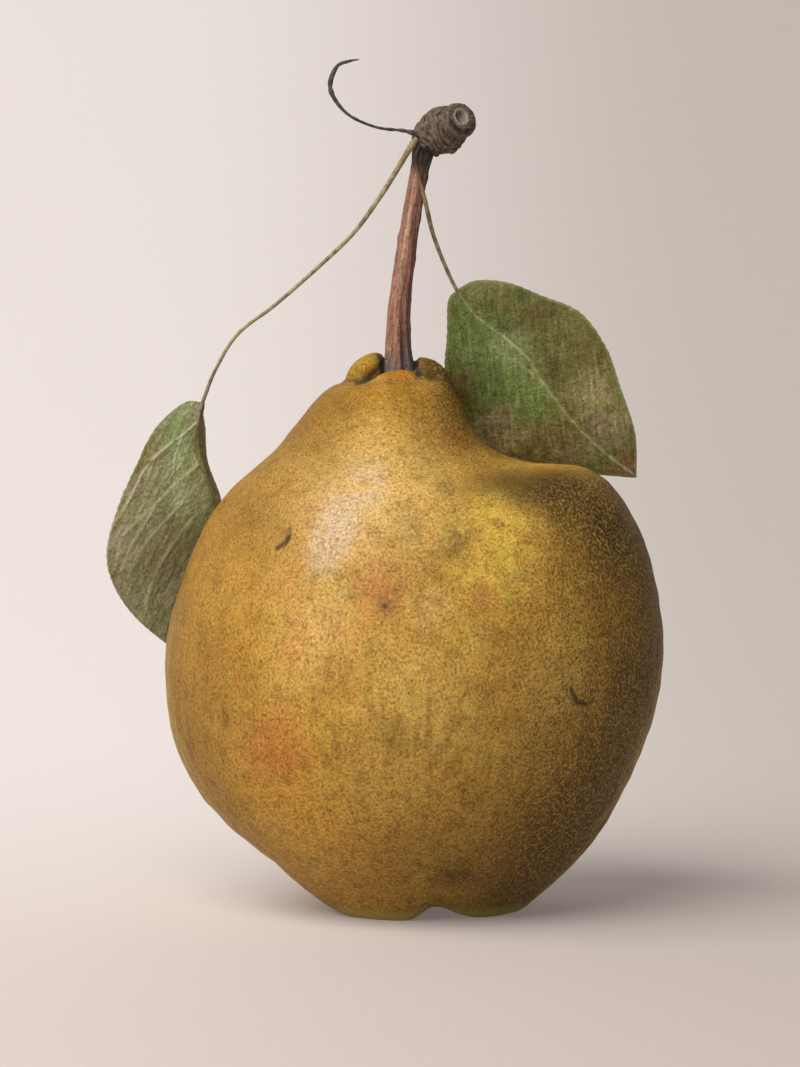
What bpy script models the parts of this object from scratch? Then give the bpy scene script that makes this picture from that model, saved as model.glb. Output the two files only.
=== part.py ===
"""A ripe pear as picked, with the gnarled piece of spur that it hung from, two leaves and a dried stalk.

Metres, +Z up. The fruit stands on the five lobes round its eye, on the plane z = 0. Sizes and places
below are millimetres from the fruit's own axis, with X to the right and Y away from the front.
"""

import math

import bmesh
import bpy
import numpy as np
from mathutils import Matrix, Vector

MM = 0.001
FRUIT_AXIS_X = 5.0  # the fruit's axis is this far right of the origin, which is under the whole's middle
GAP = 0.3  # left free where two pieces meet

# The fruit's outline, from the rim of the stem's hollow down to the eye:
# left reach and height, right reach and height, reach to the front and back
FRUIT_OUTLINE = (
    (-2.2, 88.4, -2.2, 88.4, 0.0),
    (-8.8, 89.8, 3.6, 90.2, 6.1),
    (-14.0, 88.9, 6.2, 89.6, 10.4),
    (-17.5, 85.5, 8.0, 86.4, 14.0),
    (-20.8, 81.7, 10.2, 82.0, 17.6),
    (-23.4, 78.4, 13.0, 78.8, 20.8),
    (-27.5, 74.9, 19.4, 76.2, 25.2),
    (-32.6, 69.9, 28.4, 75.9, 30.4),
    (-36.6, 63.0, 35.2, 71.2, 35.2),
    (-40.5, 52.7, 41.0, 58.5, 39.7),
    (-42.5, 42.3, 42.8, 43.5, 41.7),
    (-40.8, 29.0, 39.9, 29.5, 39.6),
    (-35.3, 18.4, 34.9, 18.4, 34.5),
    (-25.7, 9.2, 28.6, 8.6, 26.7),
    (-17.9, 1.8, 20.3, 1.4, 18.8),
    (-13.2, -0.5, 15.8, -0.6, 14.6),
    (-8.6, 2.2, 9.2, 2.2, 8.9),
    (0.3, 7.2, 0.3, 7.2, 0.0),
)
FRUIT_SIDES, FRUIT_RINGS = 52, 44
SHOULDER_AZIMUTH, SHOULDER_SPREAD = math.radians(-12), math.radians(45)  # the high right shoulder
FURROWS = (-178, -81, 4, 72, 130)  # azimuths in degrees of the furrows between the lobes round the eye
FURROW_WIDTHS = math.radians(11), math.radians(19)  # clockwise and anticlockwise of a furrow's line
FURROW_RISE, FURROW_INSET, FURROW_FADE = 2.7, 0.05, 16.0  # at the eye's rim, and the height where they end
SWELLS = (  # broad rises and dents of the skin: place on the front, spread, height
    ((6.5, 62.0), 6.5, -0.9),
    ((17.5, 67.0), 7.5, 0.7),
    ((-13.0, 66.0), 10.0, 0.5),
    ((-10.0, 80.5), 4.0, -0.4),
)
CROWN_LOBES = (  # fleshy lobes round the stem: centre, half axes, tilt about Y in degrees
    ((-2.3, -4.7, 88.2), (6.2, 3.6, 3.9), 0),
    ((-7.5, 1.4, 91.5), (4.6, 3.4, 2.7), -38),
    ((0.9, 1.2, 89.2), (5.5, 4.2, 4.9), 0),
)

# Routes are rows of x, y, z and radius
STEM_ROUTE = (
    (-1.7, 0.0, 81.5, 1.9),
    (-2.0, 0.0, 88.0, 2.3),
    (-2.3, 0.0, 92.6, 2.25),
    (-2.5, 0.0, 97.0, 2.05),
    (-2.3, 0.0, 103.0, 1.82),
    (-1.1, 0.0, 112.1, 1.64),
    (-0.1, 0.1, 118.9, 1.54),
    (1.0, 0.3, 124.9, 1.48),
    (1.7, 0.5, 128.2, 1.62),
    (2.1, 0.6, 130.8, 1.5),
)
SOCKET_ROUTE = (
    (-1.6, 0.0, 80.6, 2.3),
    (-2.0, 0.0, 88.0, 2.75),
    (-2.3, 0.0, 92.0, 2.9),
    (-2.5, 0.0, 97.0, 4.2),
)
LEFT_PETIOLE_ROUTE = (
    (0.6, -1.6, 131.0, 0.45),
    (-1.1, -1.6, 128.4, 0.47),
    (-5.2, -1.0, 121.7, 0.45),
    (-10.0, -0.1, 115.1, 0.4),
    (-16.1, 1.0, 109.2, 0.36),
    (-23.4, 2.5, 102.8, 0.33),
    (-29.8, 4.0, 97.8, 0.31),
    (-33.5, 5.1, 92.0, 0.31),
    (-35.5, 5.9, 87.0, 0.31),
)
RIGHT_PETIOLE_ROUTE = (
    (0.9, -1.9, 129.3, 0.36),
    (0.7, -1.9, 127.2, 0.36),
    (0.8, -1.75, 125.4, 0.36),
    (1.35, -1.65, 123.3, 0.36),
    (1.95, -1.2, 121.1, 0.38),
    (2.5, 0.2, 118.7, 0.4),
    (3.2, 2.1, 115.5, 0.4),
    (4.1, 3.6, 112.8, 0.4),
    (5.5, 5.3, 109.3, 0.38),
    (7.0, 6.7, 106.1, 0.36),
)
DRIED_STALK_ROUTE = (
    (1.2, -1.0, 131.4, 0.36),
    (-1.8, -1.5, 132.3, 0.34),
    (-6.4, -2.5, 132.9, 0.31),
    (-11.2, -3.4, 135.2, 0.34),
    (-13.9, -4.0, 139.2, 0.46),
    (-12.9, -4.0, 142.9, 0.4),
    (-9.1, -4.0, 144.2, 0.3),
)
STEM_RIDGES = ((3, 0.06, 0.4), (5, 0.05, 2.0), (7, 0.03, 1.0))  # waves round it, depth, turn

# The spur is turned round a bent axis: distance from its lower end's centre along the axis, and radius
SPUR_AXIS = ((2.4, 0.9, 130.7), (5.0, -0.4, 132.3), (8.6, -5.5, 134.4))
SPUR_PROFILE = (
    (9.0, 0.0), (9.1, 0.8), (9.7, 1.05), (10.0, 1.35), (9.7, 1.7), (9.8, 2.2), (9.4, 2.9), (8.7, 3.1),
    (8.0, 2.7), (7.4, 2.8), (6.9, 3.5), (6.3, 3.6), (5.6, 3.95), (4.8, 3.75), (4.0, 4.0), (3.2, 3.7),
    (2.3, 3.8), (1.4, 3.4), (0.5, 3.4), (-0.8, 2.8), (-1.9, 1.8), (-2.5, 0.0),
)  # fmt: skip
SPUR_SIDES = 28
SCAR_SHIFT, SCAR_REACH = (-0.8, 0.0, 0.35), 2.9  # the scar is off the end's middle, up and to the left

# A leaf is spread between its midrib and its two margins, each from the base to the tip
LEFT_MIDRIB = (
    (-35.8, 6.2, 86.1), (-37.0, 6.6, 82.0), (-37.6, 7.6, 78.2), (-36.4, 9.8, 74.0), (-34.6, 13.0, 69.0),
    (-33.8, 17.2, 63.2), (-33.6, 21.6, 57.0), (-35.0, 24.6, 50.0), (-38.4, 22.8, 39.6),
)  # fmt: skip
LEFT_OUTER = (
    (-35.8, 6.2, 86.1), (-39.2, 5.8, 85.9), (-44.1, 5.4, 81.3), (-47.3, 5.4, 75.4), (-50.1, 6.2, 68.2),
    (-52.6, 8.2, 60.3), (-51.2, 11.0, 53.9), (-46.9, 14.8, 47.4), (-38.4, 22.8, 39.6),
)  # fmt: skip
LEFT_INNER = (
    (-35.8, 6.2, 86.1), (-35.9, 8.0, 84.6), (-36.1, 11.4, 81.4), (-35.9, 15.2, 76.6), (-34.8, 19.6, 71.2),
    (-33.5, 24.6, 65.2), (-33.2, 28.6, 57.6), (-34.8, 29.4, 48.4), (-38.4, 22.8, 39.6),
)  # fmt: skip
RIGHT_MIDRIB = (
    (7.5, 7.0, 105.2), (10.3, 6.5, 101.4), (14.4, 6.1, 98.7), (18.2, 6.2, 95.2), (21.3, 6.7, 90.6),
    (24.8, 7.4, 86.0), (28.6, 8.3, 81.5), (33.0, 9.0, 77.4), (38.4, 9.6, 73.0),
)  # fmt: skip
RIGHT_OUTER = (
    (7.5, 7.0, 105.2), (10.8, 6.0, 106.8), (16.5, 5.2, 106.4), (22.6, 5.0, 103.9), (28.7, 5.0, 101.2),
    (32.8, 5.4, 95.6), (35.4, 6.2, 88.6), (38.0, 7.6, 80.9), (38.4, 9.6, 73.0),
)  # fmt: skip
RIGHT_INNER = (
    (7.5, 7.0, 105.2), (6.1, 7.4, 103.2), (5.9, 8.4, 97.0), (6.2, 9.8, 91.0), (8.4, 11.6, 84.6),
    (12.4, 13.0, 79.2), (18.2, 13.0, 75.4), (27.0, 11.8, 74.0), (38.4, 9.6, 73.0),
)  # fmt: skip
BLADE_THICKNESS, BLADE_ALONG, BLADE_HALF = 0.7, 24, 5
BLADE_CROWN, WAVE_HEIGHT, WAVES = 0.8, 0.45, 3.5

CALYX_STUB = (2.0, 4.6, 8.8)  # radius, lower end and upper end
SEPALS, SEPAL_LENGTH, SEPAL_WIDTH, SEPAL_THICKNESS = 5, 4.6, 2.4, 0.8
SEPAL_DROOP = math.radians(32)


def clear_scene():
    for thing in list(bpy.data.objects):
        bpy.data.objects.remove(thing)


def collection(name):
    made = bpy.data.collections.new(name)
    bpy.context.scene.collection.children.link(made)
    return made


def place(x, y, z):
    """A point of the world, in metres, from millimetres off the fruit's axis."""
    return Vector(((x + FRUIT_AXIS_X) * MM, y * MM, z * MM))


def through(rows, steps):
    """Rows of numbers along a smooth curve through the given rows, at even steps from first to last."""
    rows = np.array(rows, float)
    wide = np.vstack([2 * rows[0] - rows[1], rows, 2 * rows[-1] - rows[-2]])
    found = []
    for way in np.linspace(0, len(rows) - 1, steps):
        i = min(int(way), len(rows) - 2)
        t = way - i
        a, b, c, d = wide[i : i + 4]
        found.append(b + t / 2 * (c - a + t * (2 * a - 5 * b + 4 * c - d + t * (3 * (b - c) + d - a))))
    return np.array(found)


def material(name, colour, roughness):
    made = bpy.data.materials.new(name)
    made.use_nodes = True
    shader = made.node_tree.nodes["Principled BSDF"]
    shader.inputs["Base Color"].default_value = (*colour, 1)
    shader.inputs["Roughness"].default_value = roughness
    shader.inputs["Metallic"].default_value = 0
    made.diffuse_color = (*colour, 1)
    return made


def object_from(name, mesh, group, surface=None):
    """A named object of the mesh in the group, with smooth shading and its material."""
    made = bpy.data.objects.new(name, mesh)
    group.objects.link(made)
    mesh.shade_smooth()
    mesh.materials.clear()
    if surface:
        mesh.materials.append(surface)
    return made


def mesh_from(name, shape):
    mesh = bpy.data.meshes.new(name)
    shape.to_mesh(mesh)
    shape.free()
    return mesh


def guide(made):
    """Marks a cutter, or a lobe that another piece takes up."""
    made.hide_render = True
    made.display_type = "WIRE"
    return made


def combine(piece, operation, other):
    modifier = piece.modifiers.new(f"{operation.lower()} {other.name}", "BOOLEAN")
    modifier.operation = operation
    modifier.object = other
    modifier.solver = "EXACT"


def evaluated_mesh(name, source):
    """The shape of an object with its modifiers or its curve's thickness, doubles merged."""
    depsgraph = bpy.context.evaluated_depsgraph_get()
    mesh = bpy.data.meshes.new_from_object(source.evaluated_get(depsgraph))
    mesh.name = name
    shape = bmesh.new()
    shape.from_mesh(mesh)
    bmesh.ops.remove_doubles(shape, verts=shape.verts, dist=0.01 * MM)
    bmesh.ops.recalc_face_normals(shape, faces=shape.faces)
    shape.to_mesh(mesh)
    shape.free()
    return mesh


def ridged_section(group):
    """The stem's section: a closed outline of radius 1 mm with lengthwise ridges."""
    curve = bpy.data.curves.new("stem_section", "CURVE")
    curve.dimensions = "2D"
    spline = curve.splines.new("POLY")
    count = 18
    spline.points.add(count - 1)
    for i, point in enumerate(spline.points):
        turn = math.tau * i / count
        reach = 1 + sum(depth * math.cos(waves * turn + start) for waves, depth, start in STEM_RIDGES)
        point.co = (reach * MM * math.cos(turn), reach * MM * math.sin(turn), 0, 1)
    spline.use_cyclic_u = True
    section = bpy.data.objects.new("stem_section", curve)
    group.objects.link(section)
    return section


def tube(name, route, steps, group, surface=None, widen=0.0, resolution=2, section=None):
    """A closed solid along a smooth curve through the route's rows of x, y, z and radius."""
    curve = bpy.data.curves.new(name, "CURVE")
    curve.dimensions = "3D"
    curve.use_fill_caps = True
    if section:
        curve.bevel_mode = "OBJECT"
        curve.bevel_object = section
    else:
        curve.bevel_depth = MM
        curve.bevel_resolution = resolution
    spline = curve.splines.new("POLY")
    rows = through(route, steps)
    spline.points.add(len(rows) - 1)
    for point, (x, y, z, radius) in zip(spline.points, rows):
        point.co = (*place(x, y, z), 1)
        point.radius = radius + widen
    source = bpy.data.objects.new(name, curve)
    bpy.context.scene.collection.objects.link(source)
    mesh = evaluated_mesh(name, source)
    bpy.data.objects.remove(source)
    return object_from(name, mesh, group, surface)


def skin_point(azimuth, ring):
    """A point of the fruit's skin, in millimetres: the outline's sides joined round the fruit."""
    left, left_height, right, right_height, depth = ring
    off_shoulder = math.remainder(azimuth - SHOULDER_AZIMUTH, math.tau) / SHOULDER_SPREAD
    height = left_height + (right_height - left_height) * math.exp(-(off_shoulder**2))
    furrow = 0
    for middle in FURROWS:
        off_furrow = math.remainder(azimuth - math.radians(middle), math.tau)
        off_furrow /= FURROW_WIDTHS[0] if off_furrow < 0 else FURROW_WIDTHS[1]
        furrow += math.exp(-(off_furrow**2))
    furrow *= max(0.0, 1 - max(height, 0) / FURROW_FADE) ** 2
    inset = 1 - FURROW_INSET * furrow
    height += FURROW_RISE * furrow
    x = (left + right) / 2 + inset * (right - left) / 2 * math.cos(azimuth)
    y = inset * depth * math.sin(azimuth)
    if y < 0:
        for (swell_x, swell_z), spread, rise in SWELLS:
            away = ((x - swell_x) ** 2 + (height - swell_z) ** 2) / spread**2
            y -= rise * math.exp(-away) * min(1, -y / 5)
    return x, y, height


def fruit_body():
    """A sphere's rings and sides, each moved to its place on the skin."""
    rings = through(FRUIT_OUTLINE, FRUIT_RINGS + 1)
    shape = bmesh.new()
    bmesh.ops.create_uvsphere(shape, u_segments=FRUIT_SIDES, v_segments=FRUIT_RINGS, radius=1)
    for vertex in shape.verts:
        ring = round(math.acos(max(-1, min(1, vertex.co.z))) / math.pi * FRUIT_RINGS)
        azimuth = math.atan2(vertex.co.y, vertex.co.x)
        vertex.co = place(*skin_point(azimuth, rings[ring]))
    return mesh_from("fruit", shape)


def crown_lobe(number, centre, half_axes, tilt, group):
    shape = bmesh.new()
    turn = Matrix.Rotation(math.radians(tilt), 4, "Y")
    size = Matrix.Diagonal((*(half * MM for half in half_axes), 1))
    where = Matrix.Translation(place(*centre)) @ turn @ size
    bmesh.ops.create_uvsphere(shape, u_segments=20, v_segments=12, radius=1, matrix=where)
    return guide(object_from(f"crown_lobe_{number}", mesh_from("crown_lobe", shape), group))


def ground_slab(group):
    """What the lobes are cut flat by, below z = 0."""
    shape = bmesh.new()
    where = Matrix.Translation(place(0, 0, -5)) @ Matrix.Diagonal((60 * MM, 60 * MM, 10 * MM, 1))
    bmesh.ops.create_cube(shape, size=1, matrix=where)
    return guide(object_from("ground_slab", mesh_from("ground_slab", shape), group))


def fruit(group, cutters, surface):
    body = object_from("fruit", fruit_body(), group, surface)
    for number, lobe in enumerate(CROWN_LOBES, 1):
        combine(body, "UNION", crown_lobe(number, *lobe, cutters))
    combine(body, "DIFFERENCE", guide(tube("stem_socket", SOCKET_ROUTE, 14, cutters, resolution=6)))
    radius, _, top = CALYX_STUB
    route = ((0.3, 0, 3, radius + GAP), (0.3, 0, top + GAP, radius + GAP))
    combine(body, "DIFFERENCE", guide(tube("calyx_socket", route, 2, cutters, resolution=4)))
    combine(body, "DIFFERENCE", ground_slab(cutters))
    return body


def calyx(group, surface):
    """Five withered sepals round a stub, which sits in a hole in the eye."""
    radius, low, high = CALYX_STUB
    route = ((0.3, 0, low, radius), (0.3, 0, high, radius))
    stub = tube("calyx", route, 2, group, surface, resolution=3)
    sepals = bpy.data.collections.new("sepals")
    bpy.context.scene.collection.children.link(sepals)
    for i in range(SEPALS):
        shape = bmesh.new()
        spin = Matrix.Rotation(math.tau * (i + 0.3) / SEPALS, 4, "Z")
        droop = Matrix.Rotation(math.pi / 2 + SEPAL_DROOP, 4, "Y")
        out = Matrix.Translation((0, 0, (SEPAL_LENGTH / 2 + 0.6) * MM))
        flat = Matrix.Diagonal((SEPAL_THICKNESS / SEPAL_WIDTH, 1, 1, 1))
        root = place(0.3, 0, low + 0.8)
        bmesh.ops.create_cone(
            shape,
            cap_ends=True,
            segments=8,
            radius1=SEPAL_WIDTH / 2 * MM,
            radius2=0.35 * MM,
            depth=SEPAL_LENGTH * MM,
            matrix=Matrix.Translation(root) @ spin @ droop @ out @ flat,
        )
        object_from(f"sepal_{i}", mesh_from("sepal", shape), sepals)
    joined = stub.modifiers.new("sepals", "BOOLEAN")
    joined.operation = "UNION"
    joined.operand_type = "COLLECTION"
    joined.collection = sepals
    joined.solver = "EXACT"
    whole = evaluated_mesh("calyx", stub)
    stub.modifiers.clear()
    stub.data = whole
    for sepal in list(sepals.objects):
        bpy.data.objects.remove(sepal)
    bpy.data.collections.remove(sepals)


def spur(group, surface, sockets):
    """The ringed knob: a turned shape bent along its axis, with holes for what grows out of it."""
    profile = bpy.data.meshes.new("spur_profile")
    points = [(radius * MM, 0, along * MM) for along, radius in SPUR_PROFILE]
    profile.from_pydata(points, [(i, i + 1) for i in range(len(points) - 1)], [])
    turned = bpy.data.objects.new("spur_profile", profile)
    bpy.context.scene.collection.objects.link(turned)
    screw = turned.modifiers.new("turn", "SCREW")
    screw.steps = screw.render_steps = SPUR_SIDES
    screw.use_merge_vertices = True
    screw.merge_threshold = 1e-5
    mesh = evaluated_mesh("spur", turned)
    bpy.data.objects.remove(turned)
    start, middle, end = (np.array(point) for point in SPUR_AXIS)
    length = np.linalg.norm(middle - start) + np.linalg.norm(end - middle)
    for vertex in mesh.vertices:
        along = vertex.co.z / MM
        turn = math.atan2(vertex.co.y, vertex.co.x)
        reach = math.hypot(vertex.co.x, vertex.co.y) / MM
        body = min(1, max(0, (7.5 - along) / 2))
        reach *= 1 + body * (0.05 * math.sin(2 * turn + 0.8 * along) + 0.04 * math.sin(5 * turn + along))
        along += body * 0.35 * math.sin(turn + 1.1)
        t = min(1, max(0, along / length))
        centre = (1 - t) ** 2 * start + 2 * t * (1 - t) * middle + t**2 * end
        forward = Vector((1 - t) * (middle - start) + t * (end - middle)).normalized()
        across = forward.cross(Vector((0, 0, 1))).normalized()
        downward = forward.cross(across)
        scar = max(0.0, 1 - reach / SCAR_REACH) if along > length / 2 else 0.0
        centre = Vector(centre) + forward * (along - t * length) + Vector(SCAR_SHIFT) * scar
        ringed = centre + across * reach * math.cos(turn) + downward * reach * math.sin(turn)
        vertex.co = place(*ringed)
    knob = object_from("spur", mesh, group, surface)
    for socket in sockets:
        combine(knob, "DIFFERENCE", socket)


def blade(name, midrib, left, right, group, surface):
    """A thin waved leaf: a grid spread between the midrib and the margins, thickened to both sides."""
    lines = [through(line, BLADE_ALONG + 1) for line in (left, midrib, right)]
    shape = bmesh.new()
    bmesh.ops.create_grid(shape, x_segments=2 * BLADE_HALF, y_segments=BLADE_ALONG, size=1)
    for vertex in shape.verts:
        row = round((vertex.co.y + 1) / 2 * BLADE_ALONG)
        out, side = abs(vertex.co.x), 2 if vertex.co.x > 0 else 0
        rib, margin = lines[1][row], lines[side][row]
        ahead = lines[1][min(row + 1, BLADE_ALONG)] - lines[1][max(row - 1, 0)]
        facing = Vector(margin - rib).cross(Vector(ahead))
        facing = facing.normalized() * (-1 if facing.y > 0 else 1)
        share = row / BLADE_ALONG
        taper = math.sin(math.pi * share)
        wave = WAVE_HEIGHT * math.sin(math.tau * WAVES * share + side) * out**2
        arch = BLADE_CROWN * 4 * out * (1 - out)
        point = Vector(rib * (1 - out) + margin * out) + facing * taper * (wave + arch)
        vertex.co = place(*point)
    bmesh.ops.remove_doubles(shape, verts=shape.verts, dist=0.02 * MM)
    bmesh.ops.triangulate(shape, faces=shape.faces)
    leaf = object_from(name, mesh_from(name, shape), group, surface)
    solidify = leaf.modifiers.new("thickness", "SOLIDIFY")
    solidify.thickness = BLADE_THICKNESS * MM
    solidify.offset = 0


def build():
    clear_scene()
    pear, cutters = collection("pear"), collection("cutters")
    skin = material("pear_skin", (0.48, 0.28, 0.055), 0.55)
    calyx_brown = material("calyx_brown", (0.09, 0.055, 0.03), 0.85)
    stem_bark = material("stem_bark", (0.30, 0.15, 0.095), 0.7)
    spur_bark = material("spur_bark", (0.17, 0.12, 0.085), 0.85)
    straw = material("petiole_straw", (0.36, 0.28, 0.15), 0.65)
    dried = material("dried_stalk", (0.085, 0.065, 0.05), 0.85)
    pale_green = material("leaf_underside", (0.20, 0.23, 0.11), 0.6)
    deep_green = material("leaf_green", (0.13, 0.16, 0.05), 0.5)

    fruit(pear, cutters, skin)
    calyx(pear, calyx_brown)
    section = ridged_section(cutters)
    tube("stem", STEM_ROUTE, 30, pear, stem_bark, section=section)
    bpy.data.objects.remove(section)
    sunk = {
        "stem": (STEM_ROUTE[-3:], 0.35),
        "left_petiole": (LEFT_PETIOLE_ROUTE[:2], 0.0),
        "right_petiole": (RIGHT_PETIOLE_ROUTE[:2], 0.0),
        "dried_stalk": (DRIED_STALK_ROUTE[:2], 0.0),
    }
    sockets = []
    for name, (route, extra) in sunk.items():
        inner = 0 if name != "stem" else -1
        step = np.array(route[inner]) - np.array(route[1])
        deep = np.array(route[inner]) + step / np.linalg.norm(step[:3]) * (GAP + 0.2)
        rows = [tuple(deep), *route] if inner == 0 else [*route, tuple(deep)]
        socket = tube(f"{name}_socket", rows, len(rows), cutters, widen=GAP + extra, resolution=3)
        sockets.append(guide(socket))
    spur(pear, spur_bark, sockets)
    tube("leaf_left_petiole", LEFT_PETIOLE_ROUTE, 34, pear, straw)
    tube("leaf_right_petiole", RIGHT_PETIOLE_ROUTE, 20, pear, straw)
    tube("dried_stalk", DRIED_STALK_ROUTE, 30, pear, dried)
    blade("leaf_left_blade", LEFT_MIDRIB, LEFT_OUTER, LEFT_INNER, pear, pale_green)
    blade("leaf_right_blade", RIGHT_MIDRIB, RIGHT_INNER, RIGHT_OUTER, pear, deep_green)


build()
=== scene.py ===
import math

import bpy
import numpy as np
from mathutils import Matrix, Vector, noise


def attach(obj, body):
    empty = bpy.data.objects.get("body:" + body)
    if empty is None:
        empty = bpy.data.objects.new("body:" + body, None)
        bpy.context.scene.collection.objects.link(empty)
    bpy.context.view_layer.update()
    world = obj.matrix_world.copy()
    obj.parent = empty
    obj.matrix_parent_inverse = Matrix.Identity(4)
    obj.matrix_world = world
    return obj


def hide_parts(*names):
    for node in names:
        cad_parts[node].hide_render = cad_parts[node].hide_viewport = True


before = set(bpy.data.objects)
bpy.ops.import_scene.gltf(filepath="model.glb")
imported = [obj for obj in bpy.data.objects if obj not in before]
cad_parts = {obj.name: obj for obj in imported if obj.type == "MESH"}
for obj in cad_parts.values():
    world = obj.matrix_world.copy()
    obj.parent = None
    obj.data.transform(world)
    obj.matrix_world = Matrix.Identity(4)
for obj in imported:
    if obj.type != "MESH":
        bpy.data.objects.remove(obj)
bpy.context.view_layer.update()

# The pear's looks. Sizes and places are millimetres from the fruit's own axis, with X to the right
# and Y away from the front. Only the studio is in metres.
MM = 0.001
FRUIT_AXIS_X = 5.0
MERGE_GAP = 0.002
STROKE_STEPS = 8  # straight steps for each point of a stroke's route
STROKE_EDGE = (1.7, 0.3)  # half widths over which a painted stroke sets in

# Stalks, as x, y, z and radius at points along them
STEM_ROUTE = (
    (-1.7, 0.0, 81.5, 1.9),
    (-2.0, 0.0, 88.0, 2.3),
    (-2.3, 0.0, 92.6, 2.25),
    (-2.5, 0.0, 97.0, 2.05),
    (-2.3, 0.0, 103.0, 1.82),
    (-1.1, 0.0, 112.1, 1.64),
    (-0.1, 0.1, 118.9, 1.54),
    (1.0, 0.3, 124.9, 1.48),
    (1.7, 0.5, 128.2, 1.62),
    (2.1, 0.6, 130.8, 1.5),
)
LEFT_STALK_ROUTE = (  # the leaf stalks run on as the ribs of their leaves
    (0.7, -1.5, 131.0, 0.5),
    (-0.2, -1.65, 129.8, 0.6),
    (-1.1, -1.6, 128.4, 0.5),
    (-5.2, -1.0, 121.7, 0.44),
    (-10.0, -0.1, 115.1, 0.38),
    (-16.1, 1.0, 109.2, 0.35),
    (-23.4, 2.5, 102.8, 0.32),
    (-29.8, 4.0, 97.8, 0.3),
    (-33.5, 5.1, 92.0, 0.3),
    (-35.5, 5.9, 87.2, 0.32),
    (-36.3, 6.2, 84.8, 0.34),
    (-36.9, 6.5, 82.0, 0.24),
)
RIGHT_STALK_ROUTE = (
    (1.6, -1.5, 130.9, 0.4),
    (0.7, -1.8, 128.6, 0.36),
    (0.5, -1.75, 127.2, 0.32),
    (0.75, -1.6, 125.4, 0.32),
    (1.3, -1.5, 123.3, 0.32),
    (1.9, -1.1, 121.1, 0.35),
    (2.45, 0.2, 118.7, 0.4),
    (3.2, 2.1, 115.5, 0.39),
    (4.1, 3.6, 112.8, 0.37),
    (5.5, 5.3, 109.3, 0.35),
    (7.0, 6.7, 106.1, 0.33),
    (8.2, 7.0, 104.2, 0.3),
    (10.3, 6.7, 101.4, 0.16),
)
DRIED_STALK_ROUTE = (
    (1.6, -0.9, 131.3, 0.6),
    (0.3, -1.1, 131.8, 0.5),
    (-1.8, -1.5, 132.3, 0.3),
    (-6.4, -2.5, 132.9, 0.24),
    (-11.2, -3.4, 135.2, 0.26),
    (-13.9, -4.0, 139.2, 0.44),
    (-12.9, -4.0, 142.9, 0.36),
    (-10.8, -4.0, 143.9, 0.24),
    (-9.1, -4.0, 144.2, 0.1),
)

# A leaf is spread between its midrib and its two margins, each from the base to the tip
LEFT_MIDRIB = (
    (-35.8, 6.2, 86.1), (-37.0, 6.6, 82.0), (-37.6, 7.6, 78.2), (-36.4, 9.8, 74.0), (-34.6, 13.0, 69.0),
    (-33.8, 17.2, 63.2), (-33.6, 21.6, 57.0), (-35.0, 24.6, 50.0), (-38.4, 22.8, 39.6),
)
LEFT_OUTER = (
    (-35.8, 6.2, 86.1), (-39.2, 5.8, 85.9), (-44.1, 5.4, 81.3), (-47.3, 5.4, 75.4), (-50.1, 6.2, 68.2),
    (-52.6, 8.2, 60.3), (-51.2, 11.0, 53.9), (-46.9, 14.8, 47.4), (-38.4, 22.8, 39.6),
)
LEFT_INNER = (
    (-35.8, 6.2, 86.1), (-35.9, 8.0, 84.6), (-36.1, 11.4, 81.4), (-35.9, 15.2, 76.6), (-34.8, 19.6, 71.2),
    (-33.5, 24.6, 65.2), (-33.2, 28.6, 57.6), (-34.8, 29.4, 48.4), (-38.4, 22.8, 39.6),
)
RIGHT_MIDRIB = (
    (7.5, 7.0, 105.2), (10.3, 6.5, 101.4), (14.4, 6.1, 98.7), (18.2, 6.2, 95.2), (21.3, 6.7, 90.6),
    (24.8, 7.4, 86.0), (28.6, 8.3, 81.5), (33.0, 9.0, 77.4), (38.4, 9.6, 73.0),
)
RIGHT_OUTER = (
    (7.5, 7.0, 105.2), (10.8, 6.0, 106.8), (16.5, 5.2, 106.4), (22.6, 5.0, 103.9), (28.7, 5.0, 101.2),
    (32.8, 5.4, 95.6), (35.4, 6.2, 88.6), (38.0, 7.6, 80.9), (38.4, 9.6, 73.0),
)
RIGHT_INNER = (
    (7.5, 7.0, 105.2), (6.1, 7.4, 103.2), (5.9, 8.4, 97.0), (5.7, 10.0, 90.8), (7.4, 12.0, 84.0),
    (11.4, 13.4, 78.2), (17.9, 13.2, 74.8), (27.0, 11.8, 73.9), (38.4, 9.6, 73.0),
)
BLADE_THICKNESS, BLADE_ARCH = 0.36, 0.8
WAVE_HEIGHT, WAVES = 0.45, 3.5
CROSS_GRAIN_HEIGHT, VEIN_HEIGHT = 0.1, 0.12
TOOTH_PITCH, TOOTH_HEIGHT, TOOTH_START = 1.5, 0.16, 0.94  # the fine teeth of a leaf's margin
RIM_HALF = 0.3  # half width of the rim noted along a leaf's margin
BLADE_ROWS, BLADE_HALF_ROWS = 190, 76  # faces along a leaf, and from its midrib to a margin

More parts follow.
